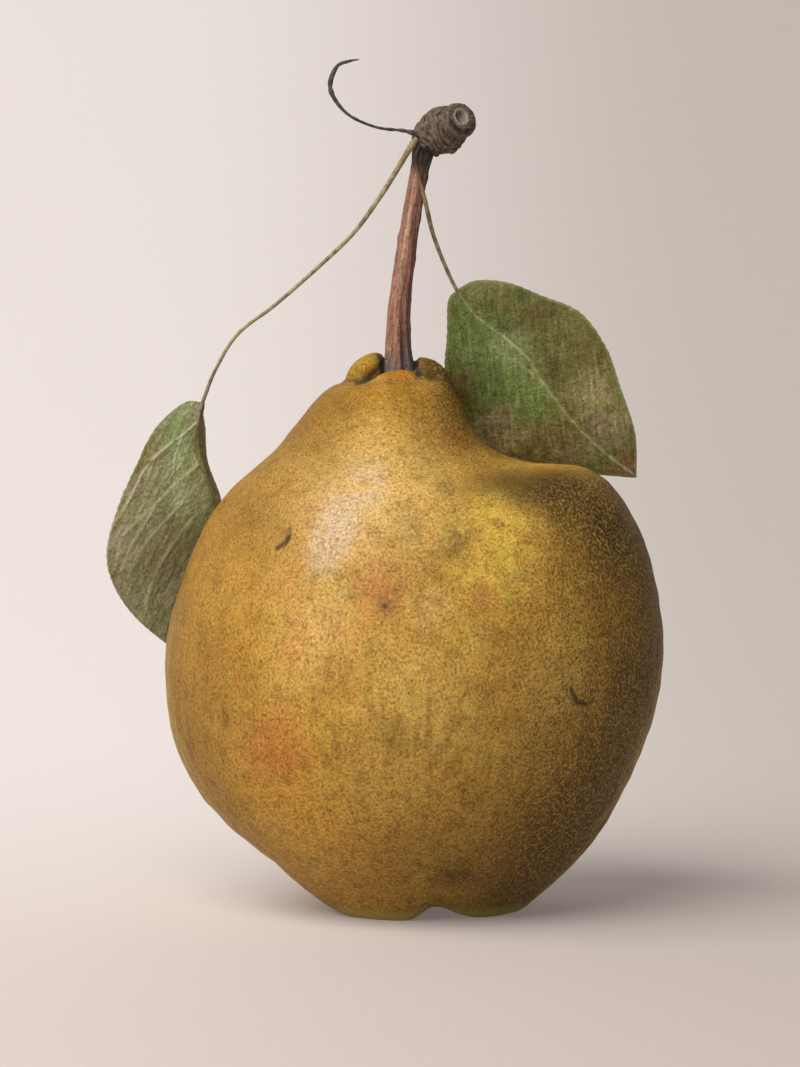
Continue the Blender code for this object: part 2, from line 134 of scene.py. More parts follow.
# Lines as seen from the front: half width, strength, and x and z of each point along them
LEFT_VEINS = (
    (0.2, 0.9, ((-37.0, 82.6), (-39.4, 80.4), (-42.4, 78.2), (-45.8, 74.6), (-48.8, 68.8))),
    (0.16, 0.7, ((-39.4, 80.4), (-40.6, 77.0), (-41.0, 74.0))),
    (0.18, 0.9, ((-36.8, 75.2), (-40.8, 71.9), (-43.8, 68.8), (-47.2, 65.8), (-49.6, 63.2))),
    (0.18, 1.0, ((-43.8, 68.8), (-46.2, 64.8), (-48.4, 61.2), (-50.2, 56.8))),
    (0.18, 0.9, ((-37.2, 71.6), (-40.4, 67.8), (-43.8, 64.2), (-46.4, 60.9), (-49.0, 56.9))),
    (0.18, 0.9, ((-35.6, 67.9), (-38.0, 65.6), (-40.4, 62.7), (-43.6, 57.8), (-45.2, 54.0), (-46.2, 50.8))),
    (0.16, 0.8, ((-50.2, 62.2), (-51.0, 58.0))),
    (0.16, 0.5, ((-36.6, 62.0), (-39.6, 56.4), (-42.0, 50.6))),
)
RIGHT_VEINS = (
    (0.2, 0.55, ((7.9, 104.6), (10.3, 101.4), (13.6, 98.6), (16.6, 96.6), (19.4, 93.8))),
    (0.22, 0.9, ((15.4, 97.4), (18.8, 94.6), (20.6, 92.2), (21.6, 90.2))),
    (0.26, 1.0, ((21.4, 90.6), (24.8, 86.0), (28.6, 81.5), (33.0, 77.4), (38.0, 73.5))),
    (0.2, 0.5, ((15.0, 94.6), (17.4, 93.2), (20.0, 91.4), (21.4, 90.6))),
    (0.14, 0.22, ((12.4, 99.9), (9.8, 94.4), (9.4, 88.0))),
    (0.14, 0.22, ((14.4, 98.7), (12.8, 93.0), (12.9, 85.4))),
    (0.14, 0.22, ((18.2, 95.2), (16.4, 89.0), (17.0, 81.8))),
    (0.14, 0.2, ((21.3, 90.6), (20.2, 85.4), (21.2, 79.4))),
    (0.14, 0.18, ((24.8, 86.0), (23.8, 81.2), (25.2, 77.4))),
    (0.14, 0.15, ((16.4, 97.0), (20.0, 100.4), (22.4, 102.4))),
    (0.14, 0.15, ((20.2, 92.4), (25.4, 95.8), (28.8, 98.4))),
    (0.14, 0.18, ((23.6, 87.6), (28.6, 90.6), (32.0, 92.6))),
    (0.14, 0.18, ((27.4, 83.0), (32.0, 85.4), (34.8, 86.8))),
)
SCARS = (  # short healed strokes in the skin
    (0.3, 0.7, ((-20.3, 66.8), (-20.3, 65.6), (-20.8, 64.8))),
    (0.46, 1.0, ((-20.6, 65.2), (-21.0, 64.4), (-22.4, 63.5))),
    (0.42, 1.0, ((25.9, 40.6), (26.4, 39.5), (26.9, 38.4), (28.3, 38.0))),
    (0.22, 0.7, ((23.2, 39.4), (23.9, 38.8))),
    (0.22, 0.7, ((24.1, 46.5), (24.2, 45.9))),
    (0.3, 0.7, ((14.8, 67.7), (14.8, 67.4))),
    (0.32, 0.8, ((-4.7, 55.0), (-4.5, 54.6))),
)
CREVICES = (  # where the lobes of the crown part from each other
    (0.55, 1.0, ((-4.6, 94.4), (-5.0, 92.9), (-6.2, 91.7), (-7.4, 90.8))),
    (0.45, 0.6, ((-7.4, 90.8), (-8.5, 90.1), (-9.4, 89.8))),
    (0.62, 1.0, ((-0.3, 94.6), (0.3, 93.3), (0.7, 92.2), (0.95, 91.3))),
)


def alone(piece):
    """Deselects everything and makes the piece the one worked on."""
    bpy.ops.object.select_all(action="DESELECT")
    piece.select_set(True)
    bpy.context.view_layer.objects.active = piece


def place(x, y, z):
    """A point given in millimetres off the fruit's axis, in Blender's metres."""
    return Vector(((x + FRUIT_AXIS_X) * MM, y * MM, z * MM))


def through(rows, steps):
    """Rows of numbers along a smooth curve through the given rows, at even steps from first to last."""
    rows = np.array(rows, float)
    wide = np.vstack([2 * rows[0] - rows[1], rows, 2 * rows[-1] - rows[-2]])
    found = []
    for way in np.linspace(0, len(rows) - 1, steps):
        i = min(int(way), len(rows) - 2)
        t = way - i
        a, b, c, d = wide[i : i + 4]
        found.append(b + t / 2 * (c - a + t * (2 * a - 5 * b + 4 * c - d + t * (3 * (b - c) + d - a))))
    return np.array(found)


def ease(value, start, end):
    """0 at the start, 1 at the end and smooth between them."""
    share = min(1.0, max(0.0, (value - start) / (end - start)))
    return share * share * (3 - 2 * share)


def apply(piece, kind, **settings):
    """Gives the piece a modifier and applies it."""
    modifier = piece.modifiers.new(kind.lower(), kind)
    for name, value in settings.items():
        setattr(modifier, name, value)
    alone(piece)
    bpy.ops.object.modifier_apply(modifier=modifier.name)


def merged(piece):
    """Doubles merged and the faces turned outwards."""
    alone(piece)
    bpy.ops.object.mode_set(mode="EDIT")
    bpy.ops.mesh.select_all(action="SELECT")
    bpy.ops.mesh.remove_doubles(threshold=MERGE_GAP * MM)
    bpy.ops.mesh.normals_make_consistent(inside=False)
    bpy.ops.object.mode_set(mode="OBJECT")
    bpy.ops.object.shade_smooth()
    return piece


def linked(name, data):
    """An object with that data, in the scene."""
    made = bpy.data.objects.new(name, data)
    bpy.context.scene.collection.objects.link(made)
    return made


def worked_from(solid, name, voxel, passes):
    """A finer, softened copy of a solid's shape."""
    piece = linked(name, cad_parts[solid].data.copy())
    piece.data.materials.clear()
    merged(piece)
    apply(piece, "REMESH", mode="VOXEL", voxel_size=voxel * MM)
    apply(piece, "SMOOTH", factor=0.5, iterations=passes)
    return piece


def smoothed_below(piece, height, passes, fade=5):
    """More smoothing for the part of the piece that is lower than the height, fading out there."""
    points, _ = points_of(piece)
    group = piece.vertex_groups.new(name="below")
    for i, z in enumerate(points[:, 2]):
        group.add([i], ease(z, height, height - fade), "REPLACE")
    apply(piece, "SMOOTH", factor=0.5, iterations=passes, vertex_group="below")


def smooth_shaded(piece):
    """Shaded smooth, as the last step of shaping it."""
    alone(piece)
    bpy.ops.object.shade_smooth()
    return piece


def roughened(piece, grain, height):
    """The surface pushed in and out by a cloudy grain of that size."""
    clouds = bpy.data.textures.new("grain", "CLOUDS")
    clouds.noise_scale = grain * MM
    clouds.noise_depth = 2
    apply(piece, "DISPLACE", texture=clouds, texture_coords="LOCAL", strength=height * MM, mid_level=0.5)


def points_of(piece):
    """The piece's points and their normals, in millimetres off the fruit's axis."""
    mesh = piece.data
    points = np.empty(len(mesh.vertices) * 3, np.float32)
    mesh.vertices.foreach_get("co", points)
    normals = np.empty(len(mesh.vertices) * 3, np.float32)
    mesh.vertex_normals.foreach_get("vector", normals)
    points = points.reshape(-1, 3).astype(float) / MM
    points[:, 0] -= FRUIT_AXIS_X
    return points, normals.reshape(-1, 3).astype(float)


def move_to(piece, points):
    """Gives the piece's points new places, in millimetres off the fruit's axis."""
    points = np.array(points)
    points[:, 0] += FRUIT_AXIS_X
    piece.data.vertices.foreach_set("co", (points * MM).astype(np.float32).ravel())
    piece.data.update()


def note(piece, name, values):
    """Keeps a number for each point, for the piece's material to read."""
    attribute = piece.data.attributes.new(name, "FLOAT", "POINT")
    attribute.data.foreach_set("value", np.asarray(values, np.float32))


def note_hollows(piece, spread, gain):
    """Notes how deep in a crease and how high on a ridge each point lies, from its smoothed neighbours.

    The gain is one number or one for each point.
    """
    mesh = piece.data
    count = len(mesh.vertices)
    edges = np.empty(len(mesh.edges) * 2, np.int32)
    mesh.edges.foreach_get("vertices", edges)
    a, b = edges.reshape(-1, 2).T
    near = np.maximum(np.bincount(a, minlength=count) + np.bincount(b, minlength=count), 1)

    def mean_of_neighbours(values):
        total = np.zeros_like(values)
        np.add.at(total, a, values[b])
        np.add.at(total, b, values[a])
        return (total.T / near).T

    points, normals = points_of(piece)
    soft = points.copy()
    for _ in range(spread):
        soft = 0.5 * soft + 0.5 * mean_of_neighbours(soft)
    depth = np.einsum("ij,ij->i", soft - points, normals)
    for _ in range(max(2, spread // 4)):
        depth = 0.5 * depth + 0.5 * mean_of_neighbours(depth)
    note(piece, "hollow", np.clip(depth * gain, 0, 1))
    note(piece, "ridge", np.clip(-depth * gain, 0, 1))


def nearness(points, strokes):
    """For each point, 1 on one of the strokes seen from the front, falling to 0 beside it."""
    flat = points[:, (0, 2)]
    near = np.zeros(len(points))
    for half_width, strength, route in strokes:
        rows = through(route, STROKE_STEPS * len(route))
        for start, end in zip(rows[:-1], rows[1:]):
            run = end - start
            share = np.clip(((flat - start) @ run) / max(run @ run, 1e-9), 0, 1)
            away = np.linalg.norm(flat - start - share[:, None] * run, axis=1)
            near = np.maximum(near, strength * np.exp(-((away / half_width) ** 2)))
    return near


# Finishes


def feed(tree, socket, value):
    """Links the value to the socket, or sets it there when it is a plain number or colour."""
    if isinstance(value, bpy.types.NodeSocket):
        tree.links.new(value, socket)
    elif isinstance(value, tuple) and len(value) == 3 and socket.type == "RGBA":
        socket.default_value = (*value, 1)
    else:
        socket.default_value = value


def node(tree, kind, *values, settings=(), **named_values):
    """A shader node with its inputs fed, in their order or by name, where _ stands for a space."""
    made = tree.nodes.new("ShaderNode" + kind)
    for name, value in dict(settings).items():
        setattr(made, name, value)
    for socket, value in zip(made.inputs, values):
        feed(tree, socket, value)
    for name, value in named_values.items():
        feed(tree, made.inputs[name.replace("_", " ")], value)
    return made


def number(tree, operation, *values, clamp=False):
    """Arithmetic of that kind on the values, each a socket or a plain number."""
    settings = {"operation": operation, "use_clamp": clamp}
    return node(tree, "Math", *values, settings=settings).outputs[0]


def vectors(tree, operation, *values, **named_values):
    """The outputs of arithmetic of that kind on vectors."""
    return node(tree, "VectorMath", *values, settings={"operation": operation}, **named_values).outputs


class Finish:
    """A material in the making. Its colour is laid on in coats, over places read in millimetres."""

    def __init__(self, name, colour, roughness):
        self.material = bpy.data.materials.new(name)
        self.material.use_nodes = True
        self.tree = self.material.node_tree
        self.shader = self.tree.nodes["Principled BSDF"]
        self.shader.inputs["Roughness"].default_value = roughness
        self.colour = colour
        self.height = None
        where = node(self.tree, "TexCoord").outputs["Object"]
        self.where = self.mapped(where, (1 / MM,) * 3, (-FRUIT_AXIS_X, 0, 0))

    def mapped(self, where, size=(1, 1, 1), shift=(0, 0, 0), turn=(0, 0, 0)):
        """Places that are scaled by the size, turned and shifted, in that order."""
        made = node(self.tree, "Mapping", Vector=where, Location=shift, Rotation=turn, Scale=size)
        return made.outputs[0]

    def clouds(self, where, scale, detail, rough=0.5):
        made = node(self.tree, "TexNoise", Vector=where, Scale=scale, Detail=detail, Roughness=rough)
        return made.outputs[0]

    def grain(self, size, detail=3, stretch=(1, 1, 1), low=0.35, high=0.65, shift=(0, 0, 0), rough=0.5):
        """Cloudy grain of that size, from 0 to 1, which may be stretched into streaks."""
        where = self.mapped(self.where, tuple(1 / way for way in stretch), shift)
        return self.ranged(self.clouds(where, 1 / size, detail, rough), low, high)

    def specks(self, size, share=1.0, shift=0):
        """Fine darker, lighter, warmer and greener specks over the colour so far."""
        softness = 0.17
        tints = (  # thickness, where the grain sets in, and what the colour is multiplied by
            (1.0, 0.46, (0.55, 0.46, 0.36)),
            (1.0, 0.5, (1.5, 1.48, 1.38)),
            (0.6, 0.52, (1.25, 0.78, 0.5)),
            (0.5, 0.52, (0.8, 1.02, 0.6)),
        )
        for i, (thickness, low, tint) in enumerate(tints):
            apart = (shift, 7 * i, 5 * i)
            speck = self.grain(size, detail=4, low=low, high=low + softness, shift=apart, rough=0.72)
            self.coat(tint, speck, thickness * share, blend="MULTIPLY")

    def dots(self, spacing, low, high):
        """Round dots, 1 up to the low share of their spacing from the middle and 0 beyond the high one."""
        made = node(self.tree, "TexVoronoi", Vector=self.where, Scale=1 / spacing)
        return self.ranged(made.outputs["Distance"], high, low)

    def ranged(self, value, low, high):
        """0 at low, 1 at high and smooth between them. Low may be the larger of the two."""
        settings = {"interpolation_type": "SMOOTHSTEP"}
        return node(self.tree, "MapRange", value, low, high, settings=settings).outputs[0]

    def spot(self, centre, reach, edge=0.0, turn=0.0):
        """1 inside an ellipsoid round the centre, falling to 0 at its reach."""
        turned = self.mapped(self.where, shift=tuple(-way for way in centre))
        turned = self.mapped(turned, turn=(0, turn, 0))
        squeezed = self.mapped(turned, tuple(1 / way for way in reach))
        return self.ranged(vectors(self.tree, "LENGTH", squeezed)["Value"], 1.0, edge)

    def along(self, axis, start, end):
        """0 to 1 from the start to the end along X, Y or Z."""
        return self.ranged(node(self.tree, "SeparateXYZ", self.where).outputs[axis], start, end)

    def noted(self, name):
        """What note() kept under that name."""
        return node(self.tree, "Attribute", settings={"attribute_name": name}).outputs["Fac"]

    def times(self, *values):
        found = values[0]
        for value in values[1:]:
            found = number(self.tree, "MULTIPLY", found, value)
        return found

    def coat(self, colour, *shares, blend="MIX"):
        """A coat of the colour, as thick as the shares say when they are multiplied."""
        made = node(self.tree, "Mix", settings={"data_type": "RGBA", "blend_type": blend})
        feed(self.tree, made.inputs[0], self.times(*shares))
        feed(self.tree, made.inputs[6], self.colour)
        feed(self.tree, made.inputs[7], colour)
        self.colour = made.outputs[2]

    def raise_by(self, value, amount):
        """Adds the value, times the amount, to the relief."""
        part = self.times(value, amount)
        self.height = part if self.height is None else number(self.tree, "ADD", self.height, part)

    def done(self, depth=0.2, strength=1.0):
        """Colour and relief joined to the shader. Relief is in millimetres times depth."""
        feed(self.tree, self.shader.inputs["Base Color"], self.colour)
        if self.height is not None:
            bump = node(self.tree, "Bump", Strength=strength, Distance=depth * MM, Height=self.height)
            feed(self.tree, self.shader.inputs["Normal"], bump.outputs[0])
        return self.material


def on_front(piece, x, z):
    """The place on the front of the piece at that x and z."""
    _, found, _, _ = piece.ray_cast(place(x, -100, z), Vector((0, 1, 0)))
    return (found.x / MM - FRUIT_AXIS_X, found.y / MM, found.z / MM)


def stroke(finish, piece, half_width, route):
    """1 along a thin stroke on the front of the piece, falling to 0 beside it."""
    tree = finish.tree
    found = None
    spots = [Vector(on_front(piece, x, z)) for x, z in route]
    for start, end in zip(spots[:-1], spots[1:]):
        run = end - start
        away = finish.mapped(finish.where, shift=tuple(-start))
        share = vectors(tree, "DOT_PRODUCT", away, run / run.length_squared)["Value"]
        share = number(tree, "MULTIPLY", share, 1.0, clamp=True)
        nearest = vectors(tree, "SCALE", run, Scale=share)[0]
        gap = vectors(tree, "DISTANCE", away, nearest)["Value"]
        near = finish.ranged(gap, *(half_width * edge for edge in STROKE_EDGE))
        found = near if found is None else number(tree, "MAXIMUM", found, near)
    return found


def dress(piece, material, slot, *nodes):
    """The piece gets its material, stands for its solids and rides with them."""
    piece.data.materials.clear()
    piece.data.materials.append(material)
    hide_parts(*nodes)
    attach(piece, "root")


# Fruit

CROWN_START, CROWN_FULL = 84, 88  # heights between which the crown's own treatment sets in
EYE_START, EYE_FULL = 9, 3  # and that of the hollow below the fruit
FRONT_END_Y = 3  # strokes are drawn on what lies before this
SCAR_DEPTH, CREVICE_DEPTH = 0.22, 0.3
# Painted shade: the dark ring round the stem's foot is shade down in its socket
STEM_FOOT_X, STEM_RING = -2.3, (4.2, 2.8)  # the dark ring round the stem's foot, from its outside inwards


def skin_shape():
    skin = worked_from("fruit", "pear_skin", voxel=0.54, passes=4)
    smoothed_below(skin, height=CROWN_FULL, passes=14)
    roughened(skin, grain=14.0, height=0.9)
    roughened(skin, grain=4.0, height=0.2)
    points, normals = points_of(skin)
    front = points[:, 1] < FRONT_END_Y
    crown = np.array([ease(z, CROWN_START, CROWN_FULL) for z in points[:, 2]])
    crevices = nearness(points, CREVICES) * front * crown
    sunk = SCAR_DEPTH * nearness(points, SCARS) * front + CREVICE_DEPTH * crevices
    points -= normals * sunk[:, None]
    points[:, 2] = np.maximum(points[:, 2], 0)
    move_to(skin, points)
    eye = np.array([ease(z, EYE_START, EYE_FULL) for z in points[:, 2]])
    note_hollows(skin, spread=9, gain=3.0 + 4.0 * crown + 3.0 * eye)
    from_stem = np.hypot(points[:, 0] - STEM_FOOT_X, points[:, 1])
    round_stem = [ease(away, *STEM_RING) * high for away, high in zip(from_stem, crown)]
    note(skin, "crevice", np.maximum(crevices, round_stem))
    note(skin, "rightward", normals[:, 0])
    note(skin, "backward", normals[:, 1])
    return smooth_shaded(skin)


# Patches of colour on the front of the skin, each by its x and z. Thickness is how much they cover.
# Painted shade on the right shoulder, along the concave edge below the leaf
SHOULDER_PAINTED_SHADES = (  # x, z, half width, half height, turn, thickness
    (20.0, 73.0, 9, 6, 0.3, 0.55),
    (24.0, 73.4, 8, 4.5, 0.3, 0.7),
    (26.0, 71.5, 14, 7, 0.35, 0.85),
    (33.0, 65.5, 13, 7, 1.05, 0.7),
)
YELLOWS = (  # x, z, reach, thickness
    (17.0, 65.4, 8.5, 0.9),
    (12.0, 69.6, 6.5, 0.6),
    (15, 58, 9, 0.5),
    (9, 60, 5, 0.4),
    (6, 68, 4, 0.4),
)
# Painted shade in the shallow furrows between the bulges of the front
VALLEY_PAINTED_SHADES = (  # x, z, half width, half height, thickness
    (5.6, 73.5, 3.6, 5, 0.6),
    (7.0, 65.5, 4.0, 7, 0.75),
    (12, 52, 3.6, 9, 0.3),
    (-0.4, 67.6, 4, 5, 0.5),
)
# Painted highlight, pale and broken up, on the upper left front
PAINTED_HIGHLIGHTS = (  # x, z, half width, half height, thickness
    (-12.4, 67.5, 5.8, 9.0, 0.64),
    (-7.6, 74.0, 5.0, 7.0, 0.45),
    (-15.0, 63.0, 4.5, 6.0, 0.4),
)
TONES = (  # x, z, reach, thickness, colour
    # painted light: the lower left is kept lighter, as where the light reaches it
    (-20, 21, 19, 0.65, (0.74, 0.40, 0.06)),
    (-18.5, 44, 10, 0.3, (0.70, 0.48, 0.15)),
    (-5.0, 24.5, 13, 0.45, (0.66, 0.43, 0.10)),
    (23, 42, 13, 0.6, (0.57, 0.375, 0.095)),
    (17, 31, 11, 0.35, (0.50, 0.33, 0.08)),
    (3, 54.5, 6.5, 0.35, (0.72, 0.52, 0.20)),
    (-1.5, 64, 9, 0.35, (0.52, 0.32, 0.09)),
    (-15, 52, 11, 0.4, (0.70, 0.47, 0.20)),
    (5, 70, 8, 0.3, (0.52, 0.34, 0.10)),
)
BLUSHES = (  # x, z, reach, thickness, colour
    (-22.8, 30.4, 10.0, 0.68, (0.50, 0.14, 0.04)),
    (-21.5, 36.5, 6.0, 0.3, (0.60, 0.22, 0.07)),
    (-5.5, 57.6, 7.5, 0.55, (0.46, 0.155, 0.06)),
    (11.2, 56.0, 4.2, 0.5, (0.40, 0.12, 0.05)),
    (-20.2, 47.4, 4.6, 0.4, (0.56, 0.20, 0.08)),
    (7.7, 79.6, 5.0, 0.55, (0.42, 0.13, 0.025)),
    (18.0, 62.0, 3.0, 0.35, (0.55, 0.20, 0.05)),
    (-22.0, 58.0, 5.0, 0.3, (0.62, 0.32, 0.14)),
    (-2.6, 91.6, 3.8, 0.6, (0.46, 0.17, 0.015)),
)
CROWN_LOBES = (  # centre, reach, edge, thickness, colour of each patch on the lobes round the stem
    ((-8.2, -1.0, 92.6), (4.8, 4.5, 3.8), 0.5, 0.9, (0.36, 0.23, 0.028)),
    ((-7.4, -3.0, 91.6), (2.6, 3.4, 1.8), 0.0, 0.95, (0.34, 0.12, 0.015)),
    ((-5.6, -1.5, 94.0), (2.0, 3.4, 2.6), 0.0, 0.7, (0.15, 0.10, 0.02)),
    # painted shade: the right lobe lies back, in shadow
    ((4.4, -0.5, 91.0), (5.4, 6.0, 5.4), 0.45, 0.92, (0.10, 0.065, 0.016)),
)


def skin_finish(skin):
    gold, ochre, olive = (0.60, 0.37, 0.07), (0.49, 0.275, 0.048), (0.34, 0.23, 0.04)
    rust, orange, greenish = (0.34, 0.17, 0.025), (0.66, 0.31, 0.05), (0.50, 0.42, 0.10)
    near_black = (0.045, 0.026, 0.01)

    def patch(x, z, wide, deep, tall, **settings):
        return finish.spot(on_front(skin, x, z), (wide, deep, tall), **settings)

    finish = Finish("pear_skin", ochre, 0.58)
    finish.coat(gold, finish.grain(22, detail=2))
    finish.coat(olive, finish.grain(9, low=0.45, high=0.75), 0.5)
    finish.coat(rust, finish.grain(5, detail=4, low=0.5, high=0.72, shift=(5, 9, 2)), 0.4)
    finish.coat(orange, finish.grain(7, low=0.5, high=0.7, shift=(11, 3, 9)), 0.3)
    finish.coat(greenish, finish.grain(6, low=0.52, high=0.7, shift=(1, 13, 5)), 0.3)
    # Painted light: a paler patch on the upper left front, where the light falls most
    finish.coat((0.74, 0.51, 0.21), patch(-9, 72, 22, 30, 23), 0.68)
    finish.coat((0.62, 0.45, 0.14), patch(0, 40, 18, 24, 20), 0.45)

    # Painted shade: the left flank is browner and darker at its outline, and the right flank, the lower right
    # and the foot are darker, as where the light falls away
    rightward, backward = finish.noted("rightward"), finish.noted("backward")
    finish.coat((0.29, 0.15, 0.03), finish.ranged(rightward, -0.25, -0.9), 0.68)
    left_edge_shade = finish.times(finish.ranged(rightward, -0.84, -0.98), finish.along("Z", 66, 56))
    finish.coat((0.15, 0.085, 0.022), left_edge_shade, 0.4)
    finish.coat((0.27, 0.14, 0.03), patch(-26, 69, 13, 26, 11), 0.5)
    finish.coat((0.21, 0.115, 0.02), finish.along("Z", 40, 8), finish.along("X", -24, 4), 0.5)
    finish.coat((0.13, 0.07, 0.012), finish.ranged(rightward, 0.25, 0.85), 0.45)
    finish.coat((0.08, 0.046, 0.013), patch(24, 15, 34, 34, 23, turn=-0.75), 0.5)
    # painted shade low on the front, just above the foot
    above_foot = patch(7.2, 9.0, 7.5, 12, 4.8, turn=-0.15)
    finish.coat((0.05, 0.03, 0.012), above_foot, finish.grain(2.6, low=0.1, high=0.5), 0.75)
    # painted shade: a near black band low on the right front
    low_shade_band = finish.times(
        finish.ranged(backward, -0.84, -0.56),
        finish.ranged(backward, 0.7, -0.1),
        finish.along("X", 4, 16),
        finish.along("Z", 54, 38),
        finish.grain(3.0, low=0.1, high=0.45),
    )
    finish.coat(near_black, low_shade_band, 0.72)
    right_edge_shade = finish.times(finish.ranged(rightward, 0.74, 0.95), finish.along("Z", 34, 44))
    finish.coat((0.055, 0.032, 0.012), right_edge_shade, 0.62)

    # Painted reflected light: where the sides turn away, low down, they have a lighter rim
    edge_on = finish.times(
        finish.ranged(backward, -0.4, -0.12),
        finish.ranged(backward, 0.6, -0.1),
        finish.grain(3.5, low=0.2, high=0.5, shift=(6, 6, 1)),
    )
    right_reflected_light = finish.times(edge_on, finish.along("X", 8, 20), finish.along("Z", 56, 26))
    finish.coat((0.50, 0.375, 0.115), right_reflected_light, 0.9)
    left_reflected_light = finish.times(edge_on, finish.along("X", -8, -18), finish.along("Z", 58, 28))
    finish.coat((0.68, 0.50, 0.12), left_reflected_light, 0.5)

    # Painted shade: the right shoulder is the darkest place, and the sides of the neck are darker. The neck
    # is browner than the body
    finish.coat((0.075, 0.043, 0.011), patch(33, 66, 16, 22, 24, turn=0.5), 0.8)
    finish.coat((0.13, 0.075, 0.018), patch(15.5, 74.0, 14, 16, 8, turn=0.35), 0.85)
    for x, z, wide, tall, turn, share in SHOULDER_PAINTED_SHADES:
        shoulder = patch(x, z, wide, 16, tall, turn=turn)
        finish.coat((0.04, 0.024, 0.008), shoulder, finish.grain(1.4, detail=4, low=0.1, high=0.5), share)
    neck = finish.along("Z", 78, 90)
    finish.coat((0.34, 0.17, 0.017), neck, finish.grain(4, low=0.2, high=0.5), 0.75)
    # painted shade on the left and the right of the neck
    finish.coat((0.21, 0.11, 0.014), finish.along("Z", 68, 82), finish.along("X", -6, -15), 0.55)
    finish.coat((0.15, 0.09, 0.018), finish.along("Z", 80, 88), finish.along("X", 3, 8), 0.3)

    for x, z, reach, share in YELLOWS:
        broken = finish.grain(3.2, low=0.3, high=0.52)
        finish.coat((0.74, 0.54, 0.09), patch(x, z, reach, 12, reach), broken, share)
    for x, z, wide, tall, share in VALLEY_PAINTED_SHADES:
        broken = finish.grain(2.0, low=0.3, high=0.6)
        finish.coat((0.16, 0.12, 0.035), patch(x, z, wide, 12, tall, turn=0.15), broken, share)
    streaks = finish.grain(1.8, stretch=(1, 1, 7), low=0.48, high=0.7)
    finish.coat((0.18, 0.09, 0.016), streaks, finish.along("Z", 58, 26), 0.55)
    for x, z, reach, share, colour in TONES:
        finish.coat(colour, patch(x, z, reach, reach + 5, reach), share)
    for x, z, reach, share, colour in BLUSHES:
        broken = finish.grain(1.6, detail=2, low=0.2, high=0.55)
        finish.coat(colour, patch(x, z, reach, reach + 4, reach), broken, share)
    finish.coat((0.17, 0.085, 0.05), patch(-4.6, 55, 2.8, 6, 3.6), 0.5)
    for centre, reach, edge, share, colour in CROWN_LOBES:
        finish.coat(colour, finish.spot(centre, reach, edge=edge), share)
    finish.coat((0.20, 0.11, 0.02), finish.grain(2.6, detail=4, low=0.48, high=0.68, shift=(2, 8, 4)), 0.35)
    for x, z, wide, tall, share in PAINTED_HIGHLIGHTS:
        painted_highlight = patch(x, z, wide, 12, tall, edge=0.2, turn=-0.15)
        finish.coat((0.62, 0.495, 0.37), painted_highlight, finish.grain(3, detail=4, low=0.3, high=0.52), share)

    # Specks all over, with stronger dark and light flecks where the skin is in shade
    speck_size, fleck_size = 0.47, 0.48
    finish.specks(speck_size, 0.95)
    low = finish.times(finish.along("Z", 44, 16), 0.6)
    shaded = number(finish.tree, "MAXIMUM", finish.ranged(rightward, 0.0, 0.6), low)
    dark_flecks = finish.grain(fleck_size, detail=4, low=0.46, high=0.6, shift=(4, 12, 3), rough=0.72)
    finish.coat(near_black, dark_flecks, shaded, 0.68)
    light_flecks = finish.grain(fleck_size, detail=4, low=0.49, high=0.62, shift=(9, 1, 6), rough=0.72)
    finish.coat((0.56, 0.37, 0.10), light_flecks, shaded, 0.64)
    finish.coat((0.14, 0.07, 0.018), finish.dots(1.9, 0.05, 0.15), 0.3)
    # painted reflected light: a paler yellow-green rim at the very bottom
    finish.coat((0.46, 0.42, 0.11), finish.along("Z", 3.0, 0.4), 0.5)
    # painted shade in the creases and hollows
    finish.coat((0.045, 0.036, 0.022), finish.noted("hollow"), 0.8)
    # painted shade in the crevices of the crown and round the stem's foot
    finish.coat((0.028, 0.03, 0.03), finish.noted("crevice"), 0.92)
    for half_width, strength, route in SCARS:
        finish.coat((0.06, 0.034, 0.018), stroke(finish, skin, half_width, route), 0.8 * strength)
    finish.raise_by(finish.grain(1.8), 0.6)
    finish.raise_by(finish.grain(0.5), 0.3)
    finish.shader.inputs["Specular IOR Level"].default_value = 0.12
    return finish.done(depth=0.12, strength=0.6)


# Stem

# Relief as shares of the stem's radius
RIDGE_HEIGHT, FIBRE_HEIGHT, KNOT_HEIGHT = 0.13, 0.08, 0.35
GROOVE_DEPTH, GROOVE_HALF, GROOVE_START_Z, GROOVE_TURN, GROOVE_TWIST = 0.2, 0.3, 98, -1.25, -0.035
TOP_FLARE, FOOT_FLARE = 0.18, 0.16
# Heights between which each of them grows to its full size
GROOVE_GROWTH, TOP_FLARE_GROWTH, FOOT_FLARE_GROWTH = (118, 100), (126.0, 129.5), (95, 90)


def round_noise(turn, spin, height):
    """Noise that closes on itself round a stalk. A larger spin makes narrower ridges."""
    return noise.noise(Vector((spin * math.cos(turn), spin * math.sin(turn), height)))


